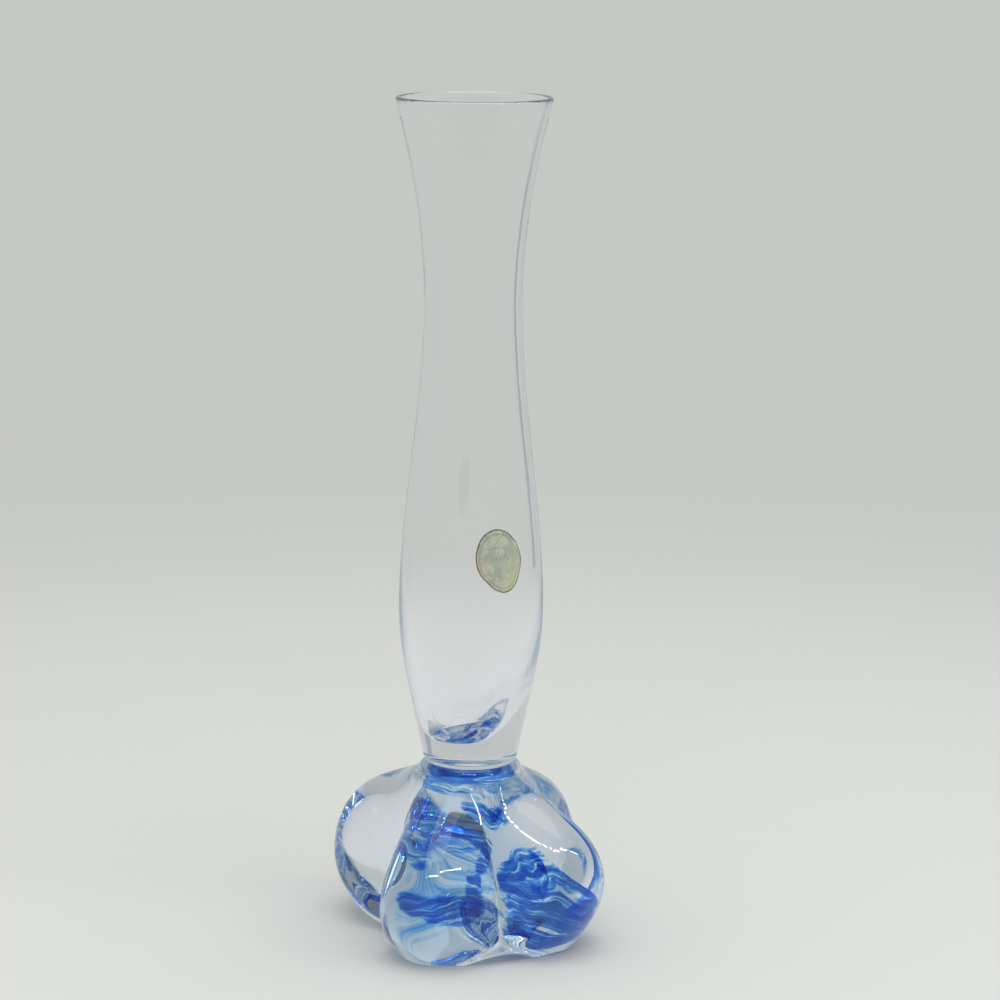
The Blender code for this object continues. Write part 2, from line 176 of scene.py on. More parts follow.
# Blue on the back of the core: middle, half widths and amount
BLUE_PATCHES = (
    ((0.0180, 0.0115, 0.0130), (0.0035, 0.0035, 0.0030), 0.85),
    ((0.0045, 0.0070, 0.0235), (0.0045, 0.0055, 0.0040), 0.70),
    ((-0.014, 0.012, 0.0080), (0.0120, 0.010, 0.0050), 0.44),
    ((0.014, 0.014, 0.0080), (0.0120, 0.010, 0.0050), 0.44),
)
PATCH_EDGE = (0.6, 1.5)
BLUE_COLLAR = (0.0335, 0.0355)
BLUE_COLLAR_AMOUNT = 0.55
# Where the strokes show: the ranges in which a place or its normal begins to count as the front
FACES_FRONT = (-0.25, 0.15)
FACES_UP = (0.25, 0.45)
FRONT_HALF = (-0.002, 0.002)
RIGHT_ARM_START = 0.006
RIGHT_ARM_FACING = (-0.95, -0.6)
RIGHT_ARM_FORWARD = (-0.002, 0.006)
LEFT_ARM_FACING = (-0.75, -0.45)
LEFT_ARM_FORWARD = (0.009, 0.012)
LEFT_ARM_UP = (0.018, 0.021)
# The points (across, up) round which the streaks curl in the left and in the right front arm
CURL_POINTS = ((-0.0040, -0.0100), (0.0120, -0.0120))
CURL_BORDER = (0.0020, 0.0060)
# The streaks' waves, and two noises: scale along and across them, detail and roughness
SWIRL_SCALE = 110.0
SWIRL_DETAIL = 2.0
SWIRL_DEPTH = 0.0065
COARSE_STREAKS = (70.0, 800.0, 5.0, 0.62)
FINE_STREAKS = (160.0, 2300.0, 3.0, 0.60)
STREAK_TWIST = 0.4
# How strongly each noise counts, and what is added to it
COARSE_GAIN = (3.8, -0.86)
FINE_GAIN = (2.4, -1.20)
# The colour of the core's surface, from clear to the deepest blue, and the tint inside it
BLUE_STOPS = (
    (0.32, (1.0, 1.0, 1.0)),
    (0.42, (0.48, 0.79, 1.0)),
    (0.54, (0.15, 0.49, 0.99)),
    (0.66, (0.024, 0.22, 0.92)),
    (0.82, (0.008, 0.11, 0.78)),
    (1.00, (0.002, 0.035, 0.42)),
)
CORE_TINT = (0.04, 0.54, 0.92)
CORE_DENSITY = 10.5

# Paper of the label: two tones in blotches (scale and detail of the noise, and its range)
PAPER_TONES = ((0.410, 0.440, 0.385), (0.570, 0.590, 0.455))
BLOTCH_NOISE = (2.2, 3.0)
BLOTCH_RANGE = (0.38, 0.62)
# A yellower corner at the lower right and a worn reddish edge at the left
CORNER_COLOUR = (0.550, 0.585, 0.380)
CORNER_RANGE = (0.1, 1.3)
WORN_COLOUR = (0.560, 0.430, 0.340)
WORN_NOISE = (3.0, 2.0)
WORN_DEPTH = 0.5
WORN_RANGE = (-0.48, -0.66)
# Dark specks and the thin line inside the edge, both with the most that they cover
INK_COLOUR = (0.10, 0.10, 0.08)
SPECK_NOISE = (16.0, 4.0)
SPECK_RANGE = (0.60, 0.68, 0.0, 0.75)
LINE_PLACE = 0.885
LINE_RANGE = (0.016, 0.003, 0.0, 0.45)
# The dark edge, and the wobble of both
EDGE_COLOUR = (0.045, 0.045, 0.035)
EDGE_RANGE = (0.985, 1.005, 0.0, 0.9)
WOBBLE_NOISE = (6.0, 3.0)
WOBBLE_DEPTH = 0.06
PAPER_ROUGHNESS = (0.45, 0.70)
PAPER_RELIEF_NOISE = (9.0, 5.0)
PAPER_RELIEF = 0.00012

# Surroundings: the colours of the floor near the vase and of everything far away
NEAR_COLOUR = (0.712, 0.724, 0.718)
FAR_COLOUR = (0.562, 0.577, 0.552)
TONE_RANGE = (0.10, 0.44)
FLOOR_REACH = 60.0
FLOOR_CLEARANCE = 0.0001
FLOOR_BASE = (0.800, 0.804, 0.788)
FLOOR_ROUGHNESS = 0.9
FLOOR_SPECULAR = 0.2
# How far from the vase the lit floor turns into plain tone
FADE_RANGE = (0.15, 0.70)
# Painted shadow: the floor seen through the glass glows dimmer right under the vase
PAINTED_SHADOW_RANGE = (0.0, 0.06, 0.55)

# The darker half of the room, behind the camera and above the floor
ROOM_COLOUR = (0.12, 0.13, 0.14)
ROOM_BEHIND = (-0.25, -0.95)
ROOM_ABOVE = (-0.02, 0.60)

# Lights: a soft box overhead and rows of small lamps (start, end and count)
OVERHEAD_PLACE = (0.0, -0.1, 1.1)
OVERHEAD_SIZE = 0.9
OVERHEAD_POWER = 4.0
LAMP_TARGET = (0.0, 0.0, 0.03)
LAMP_SIZE = 0.028
LAMP_POWER = 0.13
LAMP_ROWS = (
    ((-0.26, -0.72, 0.75), (0.22, -0.70, 0.75), 8),
    ((0.30, -0.60, 0.75), (1.10, -0.38, 0.75), 12),
)

# A grey card out of the camera's sight, which draws the line down the right of the bowl
CARD_PLACE = (0.31, 0.33)
CARD_WIDTH = 0.08
CARD_HEIGHT = 0.20
CARD_COLOUR = (0.34, 0.37, 0.41)

# Camera fitted to the photograph
CAMERA_PLACE = (0.0066, -0.726, 0.252)
CAMERA_PITCH = 11.36
CAMERA_ROLL = 0.5
CAMERA_LENS = 113.9
CAMERA_SENSOR = 36.0
CAMERA_CLIP = 200.0

# Light is reflected inside thick glass many times before it leaves
MOST_BOUNCES = 128
GLASS_BOUNCES = 96

FULL_TURN = 360.0
NEARLY_ZERO = 1e-6


# Curves


def smooth_step(value, low, high):
    t = min(1.0, max(0.0, (value - low) / (high - low)))
    return t * t * (3.0 - 2.0 * t)


def hermite(t, start, end, start_slope, end_slope):
    rise = t * t * (3.0 - 2.0 * t)
    leave = t * (1.0 - t) ** 2
    arrive = t * t * (t - 1.0)
    return start + (end - start) * rise + start_slope * leave + end_slope * arrive


def bezier(start, start_handle, end_handle, end, steps, crowding=1.0):
    """Points from start up to, but without, end; crowding above 1 draws them towards start."""
    points = []
    for step in range(steps):
        t = (step / steps) ** crowding
        s = 1.0 - t
        near = start * s**3 + start_handle * 3.0 * s * s * t
        points.append(near + end_handle * 3.0 * s * t * t + end * t**3)
    return points


def around(turn, radius, height):
    return Vector((radius * math.sin(turn), -radius * math.cos(turn), height))


# Forms of the bowl, the foot and the core


def outer_radius(height):
    stations = (
        (NECK_HEIGHT, NECK_RADIUS, NECK_FLARE),
        (BELLY_HEIGHT, BELLY_RADIUS, 0.0),
        (WAIST_HEIGHT, WAIST_RADIUS, 0.0),
        (RIM_HEIGHT, RIM_RADIUS, RIM_FLARE),
    )
    for low, high in zip(stations, stations[1:]):
        if height <= high[0] or high is stations[-1]:
            span = high[0] - low[0]
            t = (height - low[0]) / span
            return hermite(t, low[1], high[1], low[2] * span, high[2] * span)
    raise ValueError("no station above this height")


def wall_thickness(height):
    t = max(0.0, (height - WAIST_HEIGHT) / (RIM_HEIGHT - WAIST_HEIGHT))
    return BELLY_WALL + (LIP_WALL - BELLY_WALL) * t


def inner_radius(height):
    bottom = NECK_HEIGHT + BASE_THICKNESS
    below = max(0.0, bottom + HOLLOW_TAPER - height) / HOLLOW_TAPER
    closing = max(0.0, 1.0 - below**HOLLOW_ROUND) ** HOLLOW_CLOSE
    return (outer_radius(height) - wall_thickness(height)) * closing


def hollow_shift(height):
    """How far the hollow's middle lies off the axis, because the bubble was blown by hand."""
    bottom = NECK_HEIGHT + BASE_THICKNESS
    below = max(0.0, bottom + HOLLOW_LEAN_HEIGHT - height) / HOLLOW_LEAN_HEIGHT
    return Vector((HOLLOW_LEAN * min(1.0, below) ** 2, 0.0, 0.0))


def joint_dent(height):
    """Depth of the fine rings where the bowl was joined to the foot."""
    dents = (depth * math.exp(-(((height - middle) / half) ** 2)) for middle, depth, half in JOINTS)
    return sum(dents)


def lobe_profile(reach, widest_height, shoulder, spread):
    steps = STEPS_PER_SPAN
    neck = Vector((NECK_RADIUS, NECK_HEIGHT))
    widest = Vector((reach, widest_height))
    pad = Vector((PAD_RADIUS, -PAD_SAG))
    middle = Vector((CORE_PATCH_RADIUS / 2.0, UNDERSIDE_HEIGHT))
    top = neck + Vector((spread, -LOBE_NECK_DROP))
    points = bezier(neck, top, widest + Vector((0.0, shoulder)), widest, 2 * steps, NECK_CROWDING)
    below = widest - Vector((0.0, LOBE_UNDERCUT))
    points += bezier(widest, below, pad + Vector((PAD_SPREAD, 0.0)), pad, steps)
    under = pad - Vector((PAD_SPREAD, 0.0))
    points += bezier(pad, under, middle + Vector((CORE_PATCH_RADIUS, 0.0)), middle, steps)
    return points + [middle]


def crease_profile(reach, lift):
    steps = STEPS_PER_SPAN
    neck = Vector((NECK_RADIUS, NECK_HEIGHT))
    widest = Vector((reach, CREASE_WIDEST_HEIGHT))
    under = Vector((reach - CREASE_UNDER, lift))
    middle = Vector((CORE_PATCH_RADIUS / 2.0, UNDERSIDE_HEIGHT))
    round_off = Vector((CREASE_FILLET, 0.0))
    top = neck + Vector((CREASE_SPREAD, -LOBE_NECK_DROP))
    handle = widest + Vector((0.0, CREASE_SHOULDER))
    points = bezier(neck, top, handle, widest, 2 * steps, NECK_CROWDING)
    below = widest - Vector((0.0, (CREASE_WIDEST_HEIGHT - lift) / 2.0))
    points += bezier(widest, below, under + round_off, under, steps)
    inward = middle + Vector((CORE_PATCH_RADIUS, 0.0))
    points += bezier(under, under - round_off, inward, middle, steps)
    return points + [middle]


def core_profile(reach, widest_height, shoulder, drop):
    steps = STEPS_PER_SPAN
    top = Vector((CORE_STEM_RADIUS / 4.0, CORE_TOP))
    stem = Vector((CORE_STEM_RADIUS, CORE_STEM_HEIGHT))
    widest = Vector((reach, widest_height))
    patch = Vector((CORE_PATCH_RADIUS, UNDERSIDE_HEIGHT + CORE_LIFT))
    dome = Vector((CORE_STEM_RADIUS, CORE_TOP))
    points = bezier(top, (top + dome) / 2.0, dome, stem, steps // 2)
    fall = stem - Vector((0.0, drop))
    points += bezier(stem, fall, widest + Vector((0.0, shoulder)), widest, 2 * steps)
    below = widest - Vector((0.0, (widest_height - patch.y) * CORE_UNDER_SHARE))
    inward = patch + Vector(((reach - CORE_PATCH_RADIUS) * CORE_INWARD_SHARE, CORE_UNDERCUT))
    points += bezier(widest, below, inward, patch, steps)
    return points + [patch]


def lobe_edge(reach, root, pull, turn):
    """How far out a round lobe reaches, at an angle away from its own direction."""
    centre = max(0.0, pull * (reach - root))
    radius = reach - centre
    inside = radius**2 - (centre * math.sin(turn)) ** 2
    if inside <= 0.0 or turn > math.pi / 2.0:
        return 0.0
    return centre * math.cos(turn) + math.sqrt(inside)


def rounded_max(one, other, fillet):
    if fillet <= 0.0:
        return max(one, other)
    closeness = max(0.0, fillet - abs(one - other))
    return max(one, other) + closeness**2 / (4.0 * fillet)


def column_turns():
    """The azimuth of each column of points, evenly spaced between one lobe and the next."""
    turns = []
    for index, lobe in enumerate(LOBES):
        span = (LOBES[(index + 1) % len(LOBES)][0] - lobe[0]) % FULL_TURN
        for step in range(STEPS_PER_LOBE):
            turns.append(math.radians(lobe[0] + span * step / STEPS_PER_LOBE))
    return turns


def lobed_ring(ridges, creases, root, pull):
    ring = []
    count = len(LOBES)
    for index, lobe in enumerate(LOBES):
        after = (index + 1) % count
        crease = creases[index]
        span = math.radians((LOBES[after][0] - lobe[0]) % FULL_TURN)
        for step in range(STEPS_PER_LOBE):
            along = span * step / STEPS_PER_LOBE
            near = ridges[index] if along < span / 2.0 else ridges[after]
            fillet = min(CREASE_FILLET, abs(near.x - crease.x) / 2.0)
            radius = rounded_max(
                lobe_edge(ridges[index].x, root, pull, along),
                lobe_edge(ridges[after].x, root, pull, span - along),
                fillet,
            )
            radius = rounded_max(radius, crease.x, fillet)
            share = 0.5 + 0.5 * math.cos(2.0 * math.pi * along / span)
            height = max(0.0, crease.y + (near.y - crease.y) * share)
            ring.append(around(math.radians(lobe[0]) + along, radius, height))
    return ring


def lobed_rings(ridges, creases, root, pull):
    """One ring for each station of the profiles over the lobes and in the creases between them."""
    rings = []
    for station in range(len(ridges[0])):
        over = [ridge[station] for ridge in ridges]
        between = [crease[station] for crease in creases]
        rings.append(lobed_ring(over, between, root, pull))
    return rings


def hollow_profile():
    """Radius and height of the stations from the hollow's bottom up its wall and over the lip."""
    bottom = NECK_HEIGHT + BASE_THICKNESS
    lip = LIP_WALL / 2.0
    lip_height = RIM_HEIGHT - lip
    profile = []
    for step in range(1, CLOSING_STEPS + 1):
        angle = math.pi / 2.0 * step / CLOSING_STEPS
        height = bottom + HOLLOW_TAPER * (1.0 - math.cos(angle))
        profile.append((inner_radius(height), height))
    for low, high in ((bottom + HOLLOW_TAPER, WAIST_HEIGHT), (WAIST_HEIGHT, lip_height)):
        for step in range(1, WALL_STATIONS):
            height = low + (high - low) * step / WALL_STATIONS
            profile.append((inner_radius(height), height))
        if high < lip_height:
            profile.append((inner_radius(high), high))
    lip_centre = outer_radius(lip_height) - lip
    for step in range(LIP_STEPS + 1):
        angle = math.pi * (1.0 - step / LIP_STEPS)
        profile.append((lip_centre + lip * math.cos(angle), lip_height + lip * math.sin(angle)))
    return profile


def outside_profile():
    """Radius and height of the stations from the lip down to the neck."""
    profile = []
    for low, high, count in (
        (WAIST_HEIGHT, RIM_HEIGHT - LIP_WALL / 2.0, WALL_STATIONS),
        (BELLY_HEIGHT, WAIST_HEIGHT, WALL_STATIONS),
        (NECK_STATIONS_TOP, BELLY_HEIGHT, WALL_STATIONS),
        (NECK_HEIGHT, NECK_STATIONS_TOP, NECK_STATIONS),
    ):
        for step in range(1, count + 1):
            height = high + (low - high) * step / count
            profile.append((outer_radius(height), height))
    return profile


def glass_rings():
    turns = column_turns()
    rings = []
    for radius, height in hollow_profile():
        shift = hollow_shift(height)
        rings.append([around(turn, radius, height) + shift for turn in turns])
    inside = len(rings)
    for radius, height in outside_profile():
        rings.append([around(turn, radius, height) for turn in turns])
    ridges = [lobe_profile(*lobe[1:]) for lobe in LOBES]
    creases = [crease_profile(*crease) for crease in CREASES]
    rings += lobed_rings(ridges, creases, NECK_RADIUS, LOBE_PULL)[1:]
    for ring in rings[inside:]:
        for point in ring:
            dent = joint_dent(point.z) / math.hypot(point.x, point.y)
            point.x *= 1.0 - dent
            point.y *= 1.0 - dent
    return rings


def label_place(across, along, lift):
    """A point over the bowl's wall, from its place on the flat label."""
    lean = math.radians(LABEL_LEAN)
    sideways = across * math.cos(lean) + along * math.sin(lean)
    height = LABEL_CENTRE_HEIGHT + along * math.cos(lean) - across * math.sin(lean)
    direction = math.radians(LABEL_AZIMUTH) + sideways / outer_radius(LABEL_CENTRE_HEIGHT)
    return around(direction, outer_radius(height) + lift, height)


def label_rings():
    """The rings over the back and the front of the label, and each point's place on the sheet."""
    rings, sheet_places = [], []
    for back in (True, False):
        sizes = [step / LABEL_RINGS for step in range(1, LABEL_RINGS + 1)]
        for size in sizes if back else reversed(sizes):
            lift = LABEL_SEAT if back else LABEL_SEAT + LABEL_THICKNESS
            ring = []
            for spoke in range(LABEL_SPOKES):
                angle = 2.0 * math.pi * spoke / LABEL_SPOKES
                edge = (LABEL_RAG_SCALE * math.cos(angle), LABEL_RAG_SCALE * math.sin(angle), 0.0)
                ragged = 1.0 + LABEL_RAG * noise.noise(edge)
                lower = smooth_step(-math.sin(angle), 0.0, LABEL_NARROW_END)
                narrow = 1.0 - LABEL_NARROWING * lower
                across = size * ragged * narrow * math.cos(angle)
                along = size * ragged * math.sin(angle)
                wrinkle = 0.0
                if not back:
                    fold = (LABEL_WRINKLE_ACROSS * across, LABEL_WRINKLE_ALONG * along, 1.0)
                    wrinkle = LABEL_WRINKLE * max(0.0, noise.noise(fold)) * (1.0 - size**4)
                sheet_places.append((across, along, size))
                sideways, upwards = LABEL_WIDTH / 2.0 * across, LABEL_HEIGHT / 2.0 * along
                ring.append(label_place(sideways, upwards, lift + wrinkle))
            rings.append(ring)
    return rings, sheet_places


# Meshes and their attributes


def skin(name, rings, first_pole, last_pole):
    """A closed smooth mesh through rings of points, with a pole at each end."""
    form = bmesh.new()
    grid = [[form.verts.new(place) for place in ring] for ring in rings]
    count = len(grid[0])
    first = form.verts.new(first_pole)
    last = form.verts.new(last_pole)
    for index in range(count):
        after = (index + 1) % count
        form.faces.new((first, grid[0][index], grid[0][after]))
        form.faces.new((last, grid[-1][after], grid[-1][index]))
    for upper, lower in zip(grid, grid[1:]):
        for index in range(count):
            after = (index + 1) % count
            form.faces.new((upper[index], lower[index], lower[after], upper[after]))
    bmesh.ops.recalc_face_normals(form, faces=form.faces)
    body = new_object(name, form)
    body.data.shade_smooth()
    return body


def new_object(name, form):
    mesh = bpy.data.meshes.new(name)
    form.to_mesh(mesh)
    form.free()
    body = bpy.data.objects.new(name, mesh)
    bpy.context.scene.collection.objects.link(body)
    return body


def new_attributes(mesh, **kinds):
    """Each new attribute moves the ones before it in memory, so they are looked up at the end."""
    for name, kind in kinds.items():
        mesh.attributes.new(name, kind, "POINT")
    return [mesh.attributes[name] for name in kinds]


def draw_strands(mesh):
    """Which way the glass was drawn at each place, and how deep its tool marks are there."""
    strand, marks = new_attributes(mesh, strand="FLOAT_VECTOR", marks="FLOAT")
    for vertex in mesh.vertices:
        place = vertex.co
        reach = max(math.hypot(place.x, place.y), NEARLY_ZERO)
        turn = Vector((place.x / reach, place.y / reach)) * STRANDS_AROUND
        strand.data[vertex.index].vector = (turn.x, turn.y, place.z * STRANDS_DOWN)
        foot = 1.0 - smooth_step(place.z, NECK_HEIGHT - MARKS_BELOW_NECK, NECK_HEIGHT)
        column = vertex.index % STEPS_PER_LOBE / STEPS_PER_LOBE
        crease = (0.5 - 0.5 * math.cos(2.0 * math.pi * column)) ** CREASE_SHARPNESS
        depth = SMOOTH_MARKS + (1.0 - SMOOTH_MARKS) * crease * foot
        lip = LIP_MARKS * smooth_step(place.z, *LIP_MARKS_FROM)
        marks.data[vertex.index].value = depth * smooth_step(place.z, *MARKS_FROM) + lip


def stroke_share(across, up, stroke):
    start, end = Vector(stroke[:2]), Vector(stroke[2:4])
    along = end - start
    here = Vector((across, up)) - start
    share = min(1.0, max(0.0, here.dot(along) / along.length_squared))
    return 1.0 - smooth_step((here - along * share).length / stroke[4], *STROKE_EDGE)


def front_share(place, facing):
    """How far a place of the core counts as its front, where the strokes are drawn."""
    front = max(smooth_step(-facing.y, *FACES_FRONT), smooth_step(facing.z, *FACES_UP))
    front *= smooth_step(-place.y, *FRONT_HALF)
    if place.x > RIGHT_ARM_START:
        front *= smooth_step(facing.x, *RIGHT_ARM_FACING)
        return front * smooth_step(-place.y, *RIGHT_ARM_FORWARD)
    front *= smooth_step(facing.z, *LEFT_ARM_FACING)
    forward = smooth_step(-place.y, *LEFT_ARM_FORWARD)
    return front * max(forward, smooth_step(place.z, *LEFT_ARM_UP))


def paint_core(mesh):
    """How much blue each place of the core holds, and how far out its streak lies."""
    blueness, flow = new_attributes(mesh, blueness="FLOAT", flow="FLOAT")
    for vertex in mesh.vertices:
        place = vertex.co
        amount = BLUE_COLLAR_AMOUNT * smooth_step(place.z, *BLUE_COLLAR)
        front = front_share(place, vertex.normal)
        for stroke in BLUE_STROKES:
            amount = max(amount, stroke[5] * front * stroke_share(place.x, place.z, stroke))
        for middle, halves, most in BLUE_PATCHES:
            away = sum(((c - m) / h) ** 2 for c, m, h in zip(place, middle, halves))
            amount = max(amount, most * (1.0 - smooth_step(away, *PATCH_EDGE)))
        blueness.data[vertex.index].value = amount
        left, right = (math.hypot(place.x - across, place.z - up) for across, up in CURL_POINTS)
        share = smooth_step(place.x, *CURL_BORDER)
        flow.data[vertex.index].value = left + (right - left) * share


# Nodes


def new_material(name):
    material = bpy.data.materials.new(name)
    material.use_nodes = True
    return material, material.node_tree.nodes, material.node_tree.links


def attribute(nodes, name):
    node = nodes.new("ShaderNodeAttribute")
    node.attribute_name = name
    return node.outputs


def math_node(nodes, links, operation, *inputs):
    node = nodes.new("ShaderNodeMath")
    node.operation = operation
    for socket, value in zip(node.inputs, inputs):
        if isinstance(value, float):
            socket.default_value = value
        else:
            links.new(value, socket)
    return node.outputs["Value"]


def map_range(nodes, links, value, low, high, low_out=0.0, high_out=1.0):
    node = nodes.new("ShaderNodeMapRange")
    node.interpolation_type = "SMOOTHSTEP"
    links.new(value, node.inputs["Value"])
    numbers = {"From Min": low, "From Max": high, "To Min": low_out, "To Max": high_out}
    for name, number in numbers.items():
        node.inputs[name].default_value = number
    return node.outputs["Result"]


def mix_colour(nodes, links, share, first, second):
    mix = nodes.new("ShaderNodeMix")
    mix.data_type = "RGBA"
    links.new(share, mix.inputs["Factor"])
    for name, value in (("A", first), ("B", second)):
        if isinstance(value, tuple):
            mix.inputs[name].default_value = (*value, 1.0)
        else:
            links.new(value, mix.inputs[name])
    return mix.outputs["Result"]


def noise_on(nodes, links, place, scale, detail, roughness=0.5, distortion=0.0):
    grain = nodes.new("ShaderNodeTexNoise")
    grain.inputs["Scale"].default_value = scale
    grain.inputs["Detail"].default_value = detail
    grain.inputs["Roughness"].default_value = roughness
    grain.inputs["Distortion"].default_value = distortion
    links.new(place, grain.inputs["Vector"])
    return grain.outputs["Fac"]


def stretched_noise(nodes, links, place, flow, along, across, detail, roughness):
    """Noise drawn out along the streaks: coarse over the surface and fine from streak to streak."""
    spread = nodes.new("ShaderNodeVectorMath")
    spread.operation = "SCALE"
    spread.inputs["Scale"].default_value = along
    links.new(place, spread.inputs[0])
    lift = nodes.new("ShaderNodeCombineXYZ")
    links.new(math_node(nodes, links, "MULTIPLY", flow, across), lift.inputs["Z"])
    total = nodes.new("ShaderNodeVectorMath")
    total.operation = "ADD"
    links.new(spread.outputs["Vector"], total.inputs[0])
    links.new(lift.outputs["Vector"], total.inputs[1])
    return noise_on(nodes, links, total.outputs["Vector"], 1.0, detail, roughness, STREAK_TWIST)


def relief(nodes, links, height, distance, shader):
    bump = nodes.new("ShaderNodeBump")
    bump.inputs["Distance"].default_value = distance
    links.new(height, bump.inputs["Height"])
    links.new(bump.outputs["Normal"], shader.inputs["Normal"])


def tint(nodes, links, colour, density):
    volume = nodes.new("ShaderNodeVolumeAbsorption")
    volume.inputs["Color"].default_value = (*colour, 1.0)
    volume.inputs["Density"].default_value = density
    links.new(volume.outputs["Volume"], nodes["Material Output"].inputs["Volume"])


# Materials


def clear_glass():
    material, nodes, links = new_material("clear_blown_glass")
    shader = nodes["Principled BSDF"]
    shader.inputs["Base Color"].default_value = (1.0, 1.0, 1.0, 1.0)
    shader.inputs["Roughness"].default_value = 0.0
    shader.inputs["IOR"].default_value = GLASS_IOR
    shader.inputs["Transmission Weight"].default_value = 1.0
    strand = attribute(nodes, "strand")["Vector"]
    waves = noise_on(nodes, links, strand, 1.0, STRAND_DETAIL, distortion=STRAND_TWIST)
    height = math_node(nodes, links, "MULTIPLY", waves, attribute(nodes, "marks")["Fac"])
    relief(nodes, links, height, MARK_DEPTH, shader)
    tint(nodes, links, GLASS_TINT, GLASS_DENSITY)
    return material


def blue_glass():
    """Streaks of blue on the core's surface, which has no refraction of its own in the foot."""
    material, nodes, links = new_material("blue_cased_glass")
    shader = nodes["Principled BSDF"]
    shader.inputs["Roughness"].default_value = 0.0
    shader.inputs["IOR"].default_value = 1.0
    shader.inputs["Transmission Weight"].default_value = 1.0
    place = nodes.new("ShaderNodeTexCoord").outputs["Object"]
    swirl = noise_on(nodes, links, place, SWIRL_SCALE, SWIRL_DETAIL)
    bend = math_node(nodes, links, "MULTIPLY", swirl, SWIRL_DEPTH)
    wavy = math_node(nodes, links, "ADD", attribute(nodes, "flow")["Fac"], bend)
    coarse = stretched_noise(nodes, links, place, wavy, *COARSE_STREAKS)
    fine = stretched_noise(nodes, links, place, wavy, *FINE_STREAKS)
    broad = math_node(nodes, links, "MULTIPLY_ADD", coarse, *COARSE_GAIN)
    streaks = math_node(nodes, links, "MULTIPLY_ADD", fine, *FINE_GAIN)
    share = math_node(nodes, links, "ADD", broad, streaks)
    blue = math_node(nodes, links, "MULTIPLY", attribute(nodes, "blueness")["Fac"], share)
    ramp = nodes.new("ShaderNodeValToRGB")
    stops = ramp.color_ramp.elements
    stops[0].position, stops[0].color = BLUE_STOPS[0][0], (*BLUE_STOPS[0][1], 1.0)
    stops[1].position, stops[1].color = BLUE_STOPS[-1][0], (*BLUE_STOPS[-1][1], 1.0)
    for position, colour in BLUE_STOPS[1:-1]:
        stops.new(position).color = (*colour, 1.0)
    links.new(blue, ramp.inputs["Fac"])
    links.new(ramp.outputs["Color"], shader.inputs["Base Color"])
    tint(nodes, links, CORE_TINT, CORE_DENSITY)
    return material


def worn_paper():
    """Paper with blotches, specks, a worn left edge and a thin dark line inside the rim."""
    material, nodes, links = new_material("worn_label")
    shader = nodes["Principled BSDF"]
    sheet = attribute(nodes, "sheet")["Vector"]
    apart = nodes.new("ShaderNodeSeparateXYZ")
    links.new(sheet, apart.inputs["Vector"])
    across, along, out = apart.outputs["X"], apart.outputs["Y"], apart.outputs["Z"]

    def grain(settings):
        return noise_on(nodes, links, sheet, *settings)

    def ranged(value, limits):
        return map_range(nodes, links, value, *limits)

    blotches = ranged(grain(BLOTCH_NOISE), BLOTCH_RANGE)
    colour = mix_colour(nodes, links, blotches, *PAPER_TONES)
    corner = math_node(nodes, links, "SUBTRACT", across, along)
    colour = mix_colour(nodes, links, ranged(corner, CORNER_RANGE), colour, CORNER_COLOUR)
    worn = math_node(nodes, links, "MULTIPLY_ADD", grain(WORN_NOISE), WORN_DEPTH, across)
    colour = mix_colour(nodes, links, ranged(worn, WORN_RANGE), colour, WORN_COLOUR)
    specks = ranged(grain(SPECK_NOISE), SPECK_RANGE)
    colour = mix_colour(nodes, links, specks, colour, INK_COLOUR)
    wobble = math_node(nodes, links, "MULTIPLY_ADD", grain(WOBBLE_NOISE), WOBBLE_DEPTH, out)
    off_line = math_node(nodes, links, "SUBTRACT", wobble, LINE_PLACE)
    line = ranged(math_node(nodes, links, "ABSOLUTE", off_line), LINE_RANGE)
    colour = mix_colour(nodes, links, line, colour, INK_COLOUR)
    colour = mix_colour(nodes, links, ranged(wobble, EDGE_RANGE), colour, EDGE_COLOUR)
    links.new(colour, shader.inputs["Base Color"])
    roughness = map_range(nodes, links, blotches, 0.0, 1.0, *PAPER_ROUGHNESS)
    links.new(roughness, shader.inputs["Roughness"])
    relief(nodes, links, grain(PAPER_RELIEF_NOISE), PAPER_RELIEF, shader)
    return material


def floor_paint():
    """Lit and shadowed near the vase, a plain tone far away and wherever glass shows it, with a
    painted shadow under the vase in what glass shows.
    """
    material, nodes, links = new_material("pale_floor")
    shader = nodes["Principled BSDF"]
    shader.inputs["Roughness"].default_value = FLOOR_ROUGHNESS
    shader.inputs["Specular IOR Level"].default_value = FLOOR_SPECULAR
    shader.inputs["Base Color"].default_value = (*FLOOR_BASE, 1.0)
    geometry = nodes.new("ShaderNodeNewGeometry")
    length = nodes.new("ShaderNodeVectorMath")
    length.operation = "LENGTH"
    links.new(geometry.outputs["Position"], length.inputs[0])
    away = length.outputs["Value"]
    tone = map_range(nodes, links, away, *TONE_RANGE)
    glow = nodes.new("ShaderNodeEmission")
    links.new(mix_colour(nodes, links, tone, NEAR_COLOUR, FAR_COLOUR), glow.inputs["Color"])
    # Painted shadow: the glow that glass shows is dimmer right under the vase
    links.new(map_range(nodes, links, away, *PAINTED_SHADOW_RANGE), glow.inputs["Strength"])
    rays = nodes.new("ShaderNodeLightPath").outputs
    seen = math_node(nodes, links, "MAXIMUM", rays["Is Transmission Ray"], rays["Is Glossy Ray"])
    fade = map_range(nodes, links, away, *FADE_RANGE)
    plain = math_node(nodes, links, "MAXIMUM", seen, fade)
    blend = nodes.new("ShaderNodeMixShader")
    links.new(plain, blend.inputs["Fac"])
    links.new(shader.outputs["BSDF"], blend.inputs[1])
    links.new(glow.outputs["Emission"], blend.inputs[2])
    links.new(blend.outputs["Shader"], nodes["Material Output"].inputs["Surface"])
    return material


def card_paint():
    material, nodes, links = new_material("dark_card")
    glow = nodes.new("ShaderNodeEmission")
    glow.inputs["Color"].default_value = (*CARD_COLOUR, 1.0)
    links.new(glow.outputs["Emission"], nodes["Material Output"].inputs["Surface"])
    return material


# Pieces


